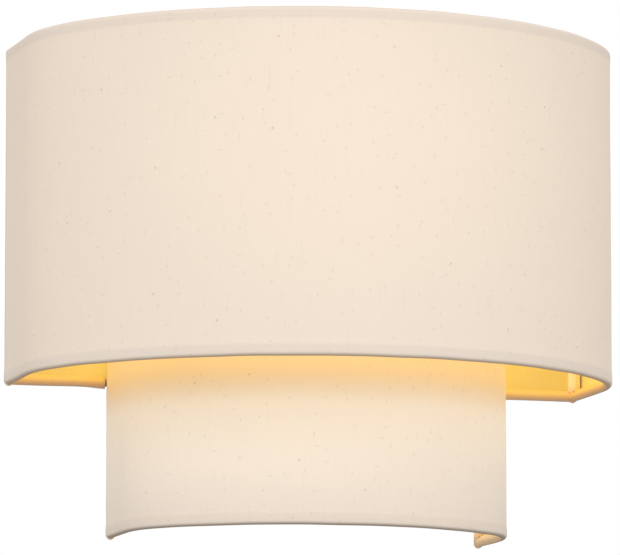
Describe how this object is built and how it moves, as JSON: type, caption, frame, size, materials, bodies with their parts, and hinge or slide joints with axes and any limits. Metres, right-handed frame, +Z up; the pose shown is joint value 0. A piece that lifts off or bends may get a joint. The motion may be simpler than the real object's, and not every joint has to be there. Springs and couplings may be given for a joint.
{
  "type": "fabric shade wall light",
  "caption": "Wall light with two nested half-drum cloth shades on a wire frame, hung on a wall plate with a swan-neck arm and a screw-in bulb.",
  "frame": {"origin": "midway between the wall strap's two screw slots, on the wall plane", "axes": "+X along the wall to the right as seen from the room, +Y into the wall, +Z up"},
  "size_m": [0.3, 0.1685, 0.2455],
  "materials": {
    "cloth_upper": "plain-weave natural cotton and linen",
    "cloth_lower": "plain-weave natural cotton and linen",
    "cloth_rear": "plain-weave natural cotton and linen",
    "cloth_binding": "cloth wrapped round a wire",
    "liner": "satin translucent film",
    "frame_wire": "white powder coat",
    "hanger": "white powder coat",
    "fitting_paint": "satin white paint",
    "zinc": "bright zinc plate",
    "nickel": "satin nickel plate",
    "brass_parts": "plain brass",
    "holder_plastic": "moulded white",
    "ceramic_insulator": "unglazed",
    "block_plastic": "moulded",
    "lead_sheath": "soft plastic",
    "core_live": "soft plastic",
    "core_neutral": "soft plastic",
    "core_earth": "soft plastic",
    "globe_opal": "frosted opal",
    "collar_plastic": "moulded white",
    "cap_metal": "plain",
    "board": "white solder mask",
    "chips": "phosphor"
  },
  "bodies": {
    "fitting": {"wall_plate": "fitting_paint", "arm_tube": "fitting_paint", "mounting_strap": "zinc", "strap_studs": "zinc", "arm_lock_nut": "zinc", "terminal_fixing_screw": "zinc", "lampholder_grub_screw": "zinc", "arm_collar": "nickel", "earth_screw": "brass_parts", "terminal_screws": "brass_parts", "lampholder_contact": "brass_parts", "lampholder_thread_sleeve": "brass_parts", "lampholder_cap": "holder_plastic", "lampholder_skirt": "holder_plastic", "lampholder_insulator": "ceramic_insulator", "terminal_block": "block_plastic", "lamp_lead": "lead_sheath", "live_core": "core_live", "neutral_core": "core_neutral", "earth_core": "core_earth"},
    "shade": {"upper_cover": "cloth_upper", "upper_left_seam_tape": "cloth_upper", "upper_right_seam_tape": "cloth_upper", "lower_cover": "cloth_lower", "rear_panel": "cloth_rear", "upper_left_binding": "cloth_binding", "upper_right_binding": "cloth_binding", "lower_left_binding": "cloth_binding", "lower_right_binding": "cloth_binding", "upper_liner": "liner", "lower_liner": "liner", "rear_liner": "liner", "upper_bottom_hoop": "frame_wire", "upper_top_hoop": "frame_wire", "upper_bottom_rail": "frame_wire", "upper_top_rail": "frame_wire", "upper_left_post": "frame_wire", "upper_right_post": "frame_wire", "lower_bottom_hoop": "frame_wire", "lower_top_hoop": "frame_wire", "lower_top_rail": "frame_wire", "lower_left_post": "frame_wire", "lower_right_post": "frame_wire", "left_tie_bar": "frame_wire", "right_tie_bar": "frame_wire", "hanger_bar": "hanger"},
    "bulb": {"bulb_contact": "brass_parts", "bulb_cap_insulator": "ceramic_insulator", "bulb_globe": "globe_opal", "bulb_collar": "collar_plastic", "bulb_cap": "cap_metal", "bulb_board": "board", "bulb_light_chips": "chips"},
    "left_washer": {"left_nut_washer": "zinc"},
    "left_nut": {"left_knurled_nut": "nickel"},
    "right_washer": {"right_nut_washer": "zinc"},
    "right_nut": {"right_knurled_nut": "nickel"}
  },
  "joints": [
    {"name": "shade_lift", "type": "slide", "parent": "fitting", "child": "shade", "axis": [0, 0, 1], "range_m": [0, 0.012]},
    {"name": "bulb_turn", "type": "hinge", "parent": "fitting", "child": "bulb", "pos_m": [0, -0.06, 0], "axis": [0, 0, 1], "range_deg": [0, 1800]},
    {"name": "left_washer_slide", "type": "slide", "parent": "fitting", "child": "left_washer", "axis": [0, -1, 0], "range_m": [0, 0.0105]},
    {"name": "left_nut_turn", "type": "hinge", "parent": "left_washer", "child": "left_nut", "pos_m": [-0.04, -0.019, 0], "axis": [0, -1, 0], "range_deg": [0, 5400]},
    {"name": "right_washer_slide", "type": "slide", "parent": "fitting", "child": "right_washer", "axis": [0, -1, 0], "range_m": [0, 0.0105]},
    {"name": "right_nut_turn", "type": "hinge", "parent": "right_washer", "child": "right_nut", "pos_m": [0.04, -0.019, 0], "axis": [0, -1, 0], "range_deg": [0, 5400]}
  ],
  "couplings": [
    {"joint": "left_nut_turn", "follows": "left_washer_slide", "rad_per_m": 8976},
    {"joint": "right_nut_turn", "follows": "right_washer_slide", "rad_per_m": 8976}
  ]
}
